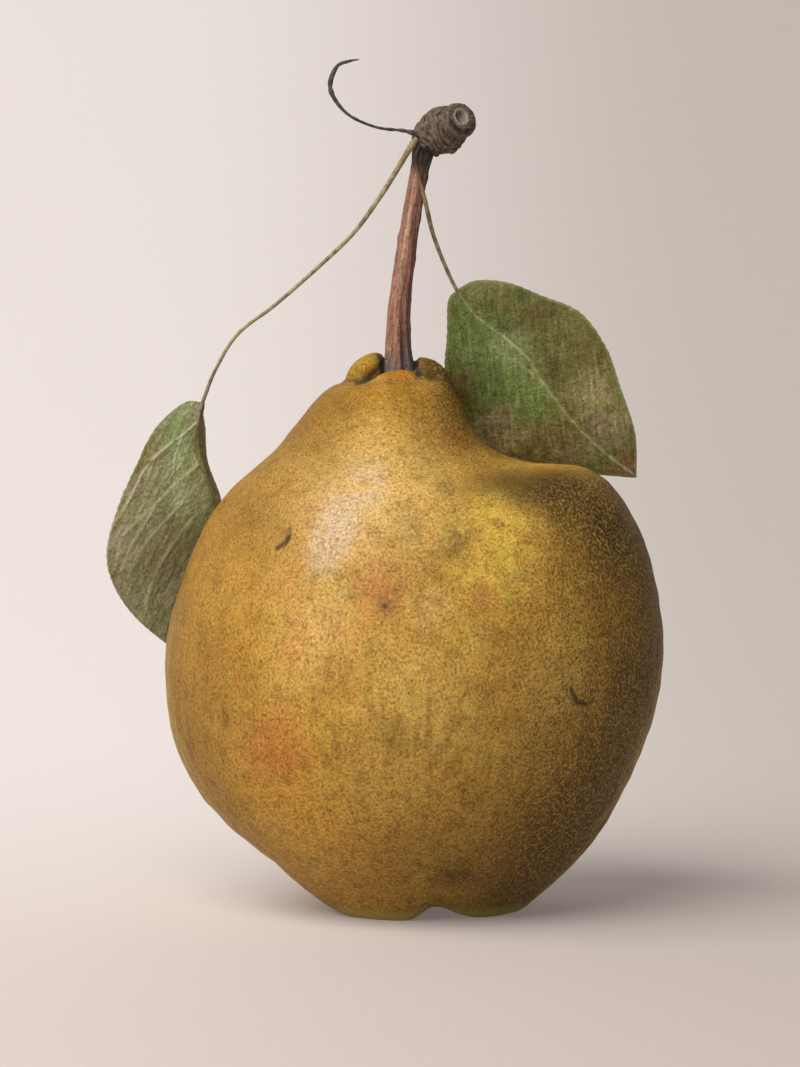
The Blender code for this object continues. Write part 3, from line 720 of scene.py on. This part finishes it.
def stem_shape():
    stem = worked_from("stem", "stem_bark", voxel=0.2, passes=4)
    points, _ = points_of(stem)
    line = through(STEM_ROUTE, steps=120)
    centre_x = np.interp(points[:, 2], line[:, 2], line[:, 0])
    centre_y = np.interp(points[:, 2], line[:, 2], line[:, 1])
    radius = np.interp(points[:, 2], line[:, 2], line[:, 3])
    note(stem, "across", (points[:, 0] - centre_x) / radius)
    for i, (x, y, z) in enumerate(points):
        out_x, out_y = x - centre_x[i], y - centre_y[i]
        turn = math.atan2(out_y, out_x)
        ridges = round_noise(turn, 2.6, z / 9)
        fibres = round_noise(turn, 6, z / 5 + 40)
        knots = max(0.0, round_noise(turn, 1.6, z / 2.6 + 9)) ** 2
        groove_turn = GROOVE_TURN + GROOVE_TWIST * (z - GROOVE_START_Z)
        across_groove = math.exp(-(((turn - groove_turn) / GROOVE_HALF) ** 2))
        groove = across_groove * ease(z, *GROOVE_GROWTH) * GROOVE_DEPTH
        flare = TOP_FLARE * ease(z, *TOP_FLARE_GROWTH) + FOOT_FLARE * ease(z, *FOOT_FLARE_GROWTH)
        grow = 1 + RIDGE_HEIGHT * ridges + FIBRE_HEIGHT * fibres + KNOT_HEIGHT * knots - groove + flare
        points[i] = (centre_x[i] + out_x * grow, centre_y[i] + out_y * grow, z)
    move_to(stem, points)
    note_hollows(stem, spread=5, gain=14.0)
    return smooth_shaded(stem)


def stem_finish():
    """Pinkish brown bark with a paler streak that is painted highlight. Painted shade makes it darker at the
    right and along the edges, greyish and darker at the foot, and black at the top under the spur.
    """
    finish = Finish("stem_bark", (0.38, 0.185, 0.125), 0.75)
    across = finish.noted("across")
    long_fibres = finish.grain(1.0, detail=4, stretch=(1, 1, 9), low=0.42, high=0.68)
    finish.coat((0.20, 0.085, 0.055), long_fibres, 0.7)
    # painted shade on the right side
    finish.coat((0.115, 0.05, 0.036), finish.ranged(across, -0.1, 0.75), 0.75)
    # painted shade along the left edge
    finish.coat((0.20, 0.09, 0.06), finish.ranged(across, -0.8, -1.0), 0.5)
    # painted highlight, a paler streak left of the middle
    streak = finish.times(finish.ranged(across, -0.62, -0.3), finish.ranged(across, 0.12, -0.2))
    broken = finish.grain(2.4, stretch=(1, 1, 3), low=0.35, high=0.6)
    finish.coat((0.58, 0.42, 0.31), streak, finish.along("Z", 95, 103), broken, 0.65)
    # painted shade on the lower right
    finish.coat((0.085, 0.048, 0.042), finish.ranged(across, -0.1, 0.25), finish.along("Z", 103, 95), 0.7)
    finish.specks(0.55, 0.85, 3)
    # greyer and darker at the foot, partly painted shade down in the socket
    finish.coat((0.12, 0.10, 0.09), finish.along("Z", 97, 91.5), 0.55)
    # painted shade on the flanks of the foot
    flank = number(finish.tree, "ABSOLUTE", across)
    finish.coat((0.04, 0.042, 0.045), finish.ranged(flank, 0.45, 0.9), finish.along("Z", 95.5, 93), 0.85)
    foot_specks = finish.grain(0.5, low=0.5, high=0.66, shift=(3, 3, 3))
    finish.coat((0.26, 0.23, 0.21), foot_specks, finish.along("Z", 97, 93), 0.55)
    # painted shade on the right, below the spur
    finish.coat((0.05, 0.028, 0.018), finish.ranged(across, -0.1, 0.5), finish.along("Z", 119, 126), 0.7)
    # painted shade, near black at the top under the spur
    finish.coat((0.013, 0.010, 0.011), finish.along("Z", 124.6, 127.0), 0.95)
    # painted shade in the creases
    finish.coat((0.05, 0.026, 0.02), finish.noted("hollow"), 0.8)
    finish.coat((0.50, 0.30, 0.21), finish.noted("ridge"), 0.3)
    finish.raise_by(long_fibres, 0.6)
    finish.raise_by(finish.grain(0.35, detail=4, stretch=(1, 1, 5)), 1.0)
    return finish.done(depth=0.14)


# Spur

SPUR_LOW_END = (2.4, 0.9, 130.7)
SPUR_RUN = (0.62, -0.66, 0.42)  # the way from its low end to its cap
SPUR_BODY_END = (7.6, 6.8)  # where the wrinkles fade out below the cap
WRINKLE_PITCH, WRINKLE_HEIGHT = 1.05, 0.24
SPUR_SCAR = (8.2, -5.6, 134.6)
# Painted shade under and round the cap
CAP_SHADOW_LINES = (  # half width, strength and route of the dark lines round the cap
    (0.3, 0.75, ((6.6, 136.1), (6.3, 135.4), (6.3, 134.4), (6.5, 133.6))),
    (0.48, 0.95, ((6.5, 133.5), (7.2, 132.6), (8.1, 132.1), (9.0, 132.25))),
    (0.36, 0.85, ((9.0, 132.25), (9.7, 132.7), (10.1, 133.4))),
    (0.22, 0.6, ((5.2, 132.6), (5.9, 131.3), (6.4, 130.4))),
)


def spur_shape():
    """A knob with wrinkles all round it, below a cap with a round scar."""
    spur = worked_from("spur", "spur_bark", voxel=0.13, passes=2)
    points, normals = points_of(spur)
    along = (points - np.array(SPUR_LOW_END)) @ np.array(SPUR_RUN)
    for i, where in enumerate(points):
        body = ease(along[i], *SPUR_BODY_END)
        bend = noise.noise(Vector(where) * 0.45)
        wrinkle = math.sin(math.tau * (along[i] / WRINKLE_PITCH + 1.1 * bend))
        broken = 0.5 + 0.5 * noise.noise(Vector(where) * 0.8 + Vector((7, 3, 5)))
        points[i] += normals[i] * body * WRINKLE_HEIGHT * (0.4 - max(0.0, wrinkle) ** 2) * (0.4 + broken)
    move_to(spur, points)
    roughened(spur, grain=1.1, height=0.3)
    roughened(spur, grain=0.45, height=0.18)
    note_hollows(spur, spread=6, gain=9.0)
    return smooth_shaded(spur)


def spur_finish(spur):
    """Grey brown bark with a pale ring on the scar. Painted shade makes it near black where it meets the stem
    and under the cap, and dark in its wrinkles.
    """
    near_black = (0.018, 0.013, 0.011)
    finish = Finish("spur_bark", (0.19, 0.14, 0.105), 0.85)
    finish.coat((0.085, 0.058, 0.042), finish.grain(0.9, detail=4, low=0.4, high=0.65))
    finish.specks(0.55, 1.0, 1)
    # painted shade in the wrinkles
    finish.coat((0.026, 0.018, 0.014), finish.noted("hollow"), 0.92)
    finish.coat((0.34, 0.265, 0.205), finish.noted("ridge"), 0.55)
    # painted shade where the spur meets the stem
    finish.coat(near_black, finish.spot((2.6, -1.6, 128.4), (3.2, 3.2, 1.9)), 0.95)
    patchy = finish.grain(0.8, low=0.25, high=0.5)
    # painted shade under the cap
    for half_width, strength, route in CAP_SHADOW_LINES:
        finish.coat(near_black, stroke(finish, spur, half_width, route), patchy, strength)
    x, y, z = SPUR_SCAR
    finish.coat((0.25, 0.19, 0.15), finish.spot(SPUR_SCAR, (2.2, 2.2, 2.2), edge=0.75), 0.85)
    ring = finish.times(
        finish.spot(SPUR_SCAR, (1.55, 1.8, 1.65), edge=0.85),
        number(finish.tree, "SUBTRACT", 1.0, finish.spot(SPUR_SCAR, (1.15, 1.2, 1.25), edge=0.7)),
    )
    finish.coat((0.42, 0.35, 0.29), ring, 0.8)
    finish.coat((0.13, 0.105, 0.085), finish.spot((x - 0.3, y, z), (0.9, 1.4, 1.0), edge=0.6), 0.7)
    finish.coat((0.03, 0.022, 0.018), finish.spot((x + 0.25, y, z), (0.34, 1.2, 0.75)), 0.8)
    finish.raise_by(finish.grain(0.3, detail=4), 1.0)
    return finish.done(depth=0.15)


# Calyx


def calyx_shape():
    calyx = worked_from("calyx", "calyx_brown", voxel=0.16, passes=4)
    roughened(calyx, grain=0.9, height=0.35)
    note_hollows(calyx, spread=5, gain=9.0)
    return smooth_shaded(calyx)


def calyx_finish():
    finish = Finish("calyx_brown", (0.095, 0.06, 0.035), 0.9)
    finish.coat((0.045, 0.028, 0.018), finish.grain(0.8, detail=4))
    finish.coat((0.20, 0.13, 0.08), finish.noted("ridge"), 0.5)
    finish.raise_by(finish.grain(0.3, detail=4), 1.0)
    return finish.done(depth=0.15)


# Stalks


def stalk_shape(name, route, steps, wander):
    """A stalk along a smooth curve through the route's rows of x, y, z and radius, a little uneven."""
    curve = bpy.data.curves.new(name, "CURVE")
    curve.dimensions = "3D"
    curve.bevel_depth = MM
    curve.bevel_resolution = 4
    curve.use_fill_caps = True
    spline = curve.splines.new("POLY")
    rows = through(route, steps)
    spline.points.add(len(rows) - 1)
    for i, (x, y, z, radius) in enumerate(rows):
        swell = 1 + wander * noise.noise(Vector((i * 0.31, z / 7, 3)))
        spline.points[i].co = (*place(x, y, z), 1)
        spline.points[i].radius = radius * swell
    alone(linked(name, curve))
    bpy.ops.object.convert(target="MESH")
    return merged(bpy.context.object)


def straw_finish(name, top_shade):
    """Straw, greyer towards the leaf. The top shade says how dark the painted shade near the spur is."""
    finish = Finish(name, (0.40, 0.335, 0.20), 0.65)
    finish.coat((0.18, 0.135, 0.085), finish.grain(1.4, low=0.45, high=0.62), 0.8)
    finish.specks(0.8, 0.5, 2)
    finish.coat((0.26, 0.20, 0.05), finish.along("Z", 122, 128), 0.5)
    finish.coat((0.15, 0.135, 0.10), finish.along("Z", 100, 90), 0.4)
    # painted shade near the spur
    finish.coat((0.17, 0.105, 0.045), finish.along("Z", 119.5, 124.0), top_shade)
    finish.coat((0.016, 0.012, 0.011), finish.along("Z", 124.5, 127.5), top_shade)
    finish.raise_by(finish.grain(0.3), 1.0)
    return finish.done(depth=0.06)


def dried_finish():
    finish = Finish("dried_stalk", (0.11, 0.095, 0.08), 0.85)
    finish.coat((0.045, 0.04, 0.035), finish.grain(1.4, detail=4, low=0.4, high=0.65))
    finish.specks(0.7, 0.8, 6)
    finish.raise_by(finish.grain(0.25, detail=4), 1.0)
    return finish.done(depth=0.1)


# Leaves


def reach_along(line):
    """How far along the line each of its points lies."""
    steps = np.linalg.norm(np.diff(line, axis=0), axis=1)
    return np.concatenate([[0], np.cumsum(steps)])


def leaf_shape(name, midrib, left, right, veins, vein_height, turned_edge):
    """A thin waved leaf: a grid spread between the midrib and the margins, with veins and fine teeth."""
    bpy.ops.object.select_all(action="DESELECT")
    bpy.ops.mesh.primitive_grid_add(x_subdivisions=2 * BLADE_HALF_ROWS, y_subdivisions=BLADE_ROWS, size=2)
    leaf = bpy.context.object
    leaf.name = leaf.data.name = name
    lines = [through(line, BLADE_ROWS + 1) for line in (left, midrib, right)]
    reaches = [reach_along(line) for line in lines]
    points, facings = [], []
    for vertex in leaf.data.vertices:
        row = round((vertex.co.y + 1) / 2 * BLADE_ROWS)
        out, side = abs(vertex.co.x), 2 if vertex.co.x > 0 else 0
        rib, margin = lines[1][row], lines[side][row]
        ahead = lines[1][min(row + 1, BLADE_ROWS)] - lines[1][max(row - 1, 0)]
        facing = Vector(margin - rib).cross(Vector(ahead))
        facing = np.array(facing.normalized()) * (-1 if facing.y > 0 else 1)
        share = row / BLADE_ROWS
        taper = math.sin(math.pi * share)
        wave = WAVE_HEIGHT * math.sin(math.tau * WAVES * share + side) * out**2
        arch = BLADE_ARCH * 4 * out * (1 - out)
        slant = (reaches[side][row] / TOOTH_PITCH) % 1.0
        tooth = TOOTH_HEIGHT * slant * taper * ease(out, TOOTH_START, 1.0)
        width = np.linalg.norm(margin - rib)
        out += tooth / max(width, 1.0)
        points.append(rib * (1 - out) + margin * out + facing * taper * (wave + arch))
        facings.append(facing)
    points, facings = np.array(points), np.array(facings)
    vein = nearness(points, veins)
    wide_grain = np.array([noise.noise(Vector(point) * 0.7) for point in points])
    fine_grain = np.array([noise.noise(Vector(point) * 1.9) for point in points])
    relief = vein_height * vein + CROSS_GRAIN_HEIGHT * (wide_grain + 0.5 * fine_grain)
    move_to(leaf, points + facings * relief[:, None])
    merged(leaf)
    apply(leaf, "SOLIDIFY", thickness=BLADE_THICKNESS * MM, offset=0)
    merged(leaf)
    points, _ = points_of(leaf)
    note(leaf, "vein", nearness(points, veins))
    rims = [(RIM_HALF, 1.0, [(x, z) for x, _, z in line]) for line in (left, right)]
    note(leaf, "rim", nearness(points, rims))
    note(leaf, "turned_edge", nearness(points, turned_edge))
    return leaf


def leaf_finish(name, base, roughness, patches, vein_colour, streak_turn, rim_colour, rim_share):
    """Green patches under slanted hatching, with paler veins and a rim of its own colour."""
    finish = Finish(name, base, roughness)
    for centre, reach, turn, share, colour in patches:
        patch = finish.spot(centre, reach, edge=0.3, turn=turn)
        finish.coat(colour, patch, finish.grain(2.4, low=0.25, high=0.5), share)
    turned_edge = finish.ranged(finish.noted("turned_edge"), 0.25, 0.6)
    patchy = finish.grain(1.6, low=0.2, high=0.42, shift=(2, 0, 5))
    finish.coat((0.24, 0.24, 0.185), turned_edge, patchy, 0.85)
    turned = finish.mapped(finish.where, turn=(0, streak_turn, 0))
    dark_strokes, light_strokes = (
        finish.clouds(finish.mapped(turned, (1.6, 0.5, 0.22), shift), scale=1.0, detail=3)
        for shift in ((0, 0, 0), (31, 5, 2))
    )
    finish.coat((0.65, 0.66, 0.52), finish.ranged(dark_strokes, 0.46, 0.64), 0.75, blend="MULTIPLY")
    finish.coat((1.45, 1.45, 1.35), finish.ranged(light_strokes, 0.5, 0.66), 0.75, blend="MULTIPLY")
    finish.specks(0.56, 0.75, 4)
    finish.coat(rim_colour, finish.noted("rim"), rim_share)
    broken = finish.grain(1.3, detail=4, low=0.3, high=0.55, rough=0.7)
    finish.coat(vein_colour, finish.noted("vein"), broken, 0.85)
    finish.raise_by(finish.grain(0.5, detail=2), 0.5)
    finish.raise_by(dark_strokes, 1.0)
    finish.shader.inputs["Specular IOR Level"].default_value = 0.25
    return finish.done(depth=0.12, strength=0.7)


LEFT_PATCHES = (  # centre, reach, turn, thickness and colour
    ((-40, 6, 81), (6, 20, 8), 0.0, 0.9, (0.24, 0.32, 0.145)),
    ((-38.5, 8, 74), (6, 20, 10), -0.4, 0.95, (0.46, 0.60, 0.36)),
    ((-36, 12, 67), (5, 20, 8), -0.4, 0.9, (0.40, 0.52, 0.29)),
    ((-38, 10, 69), (4, 20, 6), -0.4, 0.8, (0.52, 0.66, 0.42)),
    ((-40, 14, 54.5), (5.5, 20, 9), 0.0, 0.7, (0.49, 0.49, 0.34)),
    ((-45.5, 6, 77), (3.2, 20, 8), -0.5, 0.75, (0.28, 0.235, 0.10)),
    ((-49, 8, 68), (4, 20, 9), -0.3, 0.5, (0.42, 0.38, 0.24)),
    ((-50.5, 8, 58), (4, 20, 10), 0.0, 0.5, (0.44, 0.40, 0.27)),
    ((-41, 12, 58), (7, 20, 8), 0.0, 0.6, (0.33, 0.32, 0.19)),
)
RIGHT_PATCHES = (
    ((11, 8, 98), (9, 20, 9), 0.0, 0.9, (0.13, 0.20, 0.055)),
    ((16, 8, 92), (8, 20, 8), 0.7, 0.85, (0.24, 0.32, 0.12)),
    ((14, 8, 88), (7.5, 20, 10), 0.7, 0.85, (0.14, 0.20, 0.055)),
    ((20, 8, 86), (6, 20, 5), 0.7, 0.9, (0.20, 0.29, 0.09)),
    ((17, 6, 96), (5, 20, 3), 0.7, 0.5, (0.33, 0.38, 0.20)),
    ((15.5, 6, 103.5), (7, 20, 3.2), 0.2, 0.8, (0.13, 0.12, 0.035)),
    ((20, 6, 105), (5, 20, 2.4), 0.3, 0.8, (0.09, 0.14, 0.035)),
    ((22, 6, 101.2), (7, 20, 3.5), 0.4, 0.7, (0.11, 0.08, 0.025)),
    ((26, 6, 98), (8, 20, 5), 0.7, 0.6, (0.14, 0.135, 0.038)),
    ((31, 6, 94), (6, 20, 6), 0.0, 0.6, (0.20, 0.16, 0.06)),
    ((25, 6, 91), (4, 20, 5), 0.0, 0.6, (0.15, 0.135, 0.045)),
    ((30.5, 7, 87.5), (6, 20, 6), 0.0, 0.9, (0.35, 0.31, 0.15)),
    ((33.5, 8, 81.5), (6, 20, 5), 0.7, 0.85, (0.31, 0.26, 0.155)),
    ((36.5, 9, 75), (5, 20, 4.5), 0.7, 0.85, (0.24, 0.13, 0.065)),
    ((24, 11, 79), (10, 20, 5), 0.5, 0.8, (0.22, 0.17, 0.07)),
    # painted light, lightening the leaf where the fruit's shadow falls on it
    ((13, 12, 81.5), (8.5, 20, 3.6), 0.8, 0.9, (0.30, 0.24, 0.135)),
    ((27, 11, 76.5), (7, 20, 3), 0.2, 0.7, (0.28, 0.22, 0.115)),
    # painted light, lightening the leaf where the fruit's shadow falls on it
    ((15.5, 13, 78.5), (8, 20, 3.4), 0.5, 0.8, (0.42, 0.34, 0.19)),
    ((8.2, 10, 88), (5, 20, 2.2), 1.2, 0.8, (0.19, 0.12, 0.055)),
    ((38.4, 9.6, 73.2), (2.0, 20, 2.0), 0.0, 0.9, (0.03, 0.028, 0.03)),
)
# The margins that turn in, as half width, strength and route
LEFT_TURNED_EDGE = ((0.55, 1.0, ((-35.9, 86.2), (-36.2, 83.5), (-36.2, 78.4), (-35.1, 74.2), (-33.7, 70.0))),)
RIGHT_TURNED_EDGE = ((0.4, 0.6, ((7.6, 85.2), (9.0, 82.6), (12.0, 79.8), (15.4, 77.0), (20.0, 75.6))),)


# Studio, in metres

SHEET_FRONT, SHEET_FLAT_END, SHEET_BEND, SHEET_RISE, SHEET_HALF_WIDTH = -1.6, 0.16, 0.9, 2.2, 3.0
WARM_WHITE = (1.0, 0.965, 0.93)


def sheet_shape():
    """A seamless sheet that lies flat below the pear, bends up behind it and goes on straight."""
    bpy.ops.object.select_all(action="DESELECT")
    bpy.ops.mesh.primitive_grid_add(x_subdivisions=2, y_subdivisions=64, size=2)
    sheet = bpy.context.object
    sheet.name = "paper_sheet"
    flat, bend = SHEET_FLAT_END - SHEET_FRONT, SHEET_BEND * math.pi / 2
    for vertex in sheet.data.vertices:
        way = (vertex.co.y + 1) / 2 * (flat + bend + SHEET_RISE) - flat
        if way <= 0:
            y, z = SHEET_FLAT_END + way, 0.0
        elif way <= bend:
            turn = way / SHEET_BEND
            y, z = SHEET_FLAT_END + SHEET_BEND * math.sin(turn), SHEET_BEND * (1 - math.cos(turn))
        else:
            y, z = SHEET_FLAT_END + SHEET_BEND, SHEET_BEND + way - bend
        vertex.co = (vertex.co.x * SHEET_HALF_WIDTH, y, z)
    bpy.ops.object.shade_smooth()
    return sheet


def paper_finish():
    """Warm white paper, with painted shade that makes it greyer to the right and darker towards the front,
    and a faint glow of painted light.
    """
    right_side_shade, front_shade = (0.49, 0.45, 0.42), (0.41, 0.345, 0.32)
    paper = Finish("paper", (0.70, 0.655, 0.635), 0.9)
    # painted shade, greyer to the right as the light falls off
    paper.coat(right_side_shade, paper.along("X", -70, 90))
    # painted shade, darker towards the front
    paper.coat(front_shade, paper.along("Y", 260, -160), 0.58)
    paper.coat(front_shade, paper.along("Y", 260, -160), paper.along("X", -90, 10), 0.22)
    paper.coat((0.70, 0.63, 0.59), paper.grain(1.2), 0.06)
    # painted light: the paper glows a little, which lightens the shadows on it
    feed(paper.tree, paper.shader.inputs["Emission Color"], paper.colour)
    paper.shader.inputs["Emission Strength"].default_value = 0.25
    paper.raise_by(paper.grain(0.8, detail=4), 0.3)
    return paper.done(depth=0.1, strength=0.3)


def studio():
    """The paper sheet, a soft lamp at the upper left, one for the backdrop and a weak fill all round."""
    sheet = sheet_shape()
    sheet.data.materials.append(paper_finish())
    world = bpy.data.worlds.new("studio")
    world.use_nodes = True
    world.node_tree.nodes["Background"].inputs["Color"].default_value = (*WARM_WHITE, 1)
    world.node_tree.nodes["Background"].inputs["Strength"].default_value = 0.12
    bpy.context.scene.world = world
    lamp("key", (-0.45, -0.78, 0.95), towards=(0.0, 0.0, 0.06), size=1.1, power=16.6, colour=WARM_WHITE)
    pale = (1.0, 0.97, 0.94)
    lamp("backdrop", (-1.1, -0.1, 1.35), towards=(0.0, 0.9, 0.35), size=0.9, power=10.0, colour=pale)
    bpy.context.scene.view_settings.view_transform = "Standard"


def lamp(name, where, towards, size, power, colour):
    light = bpy.data.lights.new(name, "AREA")
    light.shape = "DISK"
    light.size = size
    light.energy = power
    light.color = colour
    made = linked(name, light)
    made.location = where
    made.rotation_euler = (Vector(towards) - Vector(where)).to_track_quat("-Z", "Y").to_euler()


def camera():
    """Four degrees above the level, 900 mm from the fruit, framed as in the photograph."""
    down = math.radians(4.0)
    distance, frame_height, aim_x, aim_z = 900.0, 181.39, 2.8, 64.0
    lens = bpy.data.cameras.new("camera")
    lens.sensor_width = 36.0
    lens.lens = lens.sensor_width * distance / frame_height
    lens.clip_start, lens.clip_end = 0.01, 20.0
    made = linked("camera", lens)
    made.location = Vector((aim_x, -distance * math.cos(down), aim_z + distance * math.sin(down))) * MM
    made.rotation_euler = (math.pi / 2 - down, 0, 0)
    bpy.context.scene.camera = made


camera()
studio()

skin = skin_shape()
dress(skin, skin_finish(skin), "pear_skin", "fruit")
dress(stem_shape(), stem_finish(), "stem_bark", "stem")
spur = spur_shape()
dress(spur, spur_finish(spur), "spur_bark", "spur")
dress(calyx_shape(), calyx_finish(), "calyx_brown", "calyx")

left_stalk = stalk_shape("left_leaf_stalk", LEFT_STALK_ROUTE, steps=150, wander=0.12)
dress(left_stalk, straw_finish("left_stalk_straw", top_shade=0.0), "petiole_straw", "leaf_left_petiole")
right_stalk = stalk_shape("right_leaf_stalk", RIGHT_STALK_ROUTE, steps=90, wander=0.12)
dress(right_stalk, straw_finish("right_stalk_straw", top_shade=0.95), "petiole_straw", "leaf_right_petiole")
dried_stalk = stalk_shape("dried_curled_stalk", DRIED_STALK_ROUTE, steps=110, wander=0.3)
dress(dried_stalk, dried_finish(), "dried_stalk", "dried_stalk")

left_leaf = leaf_shape(
    "left_leaf", LEFT_MIDRIB, LEFT_OUTER, LEFT_INNER, LEFT_VEINS, VEIN_HEIGHT, LEFT_TURNED_EDGE
)
left_green = leaf_finish(
    "left_leaf_green",
    base=(0.365, 0.40, 0.25),
    roughness=0.65,
    patches=LEFT_PATCHES,
    vein_colour=(0.74, 0.76, 0.54),
    streak_turn=-0.5,
    rim_colour=(0.20, 0.19, 0.11),
    rim_share=0.3,
)
dress(left_leaf, left_green, "leaf_underside", "leaf_left_blade")
right_leaf = leaf_shape(
    "right_leaf", RIGHT_MIDRIB, RIGHT_INNER, RIGHT_OUTER, RIGHT_VEINS, -VEIN_HEIGHT, RIGHT_TURNED_EDGE
)
right_green = leaf_finish(
    "right_leaf_green",
    base=(0.165, 0.168, 0.05),
    roughness=0.6,
    patches=RIGHT_PATCHES,
    vein_colour=(0.46, 0.48, 0.25),
    streak_turn=0.12,
    rim_colour=(0.36, 0.37, 0.16),
    rim_share=0.4,
)
dress(right_leaf, right_green, "leaf_green", "leaf_right_blade")
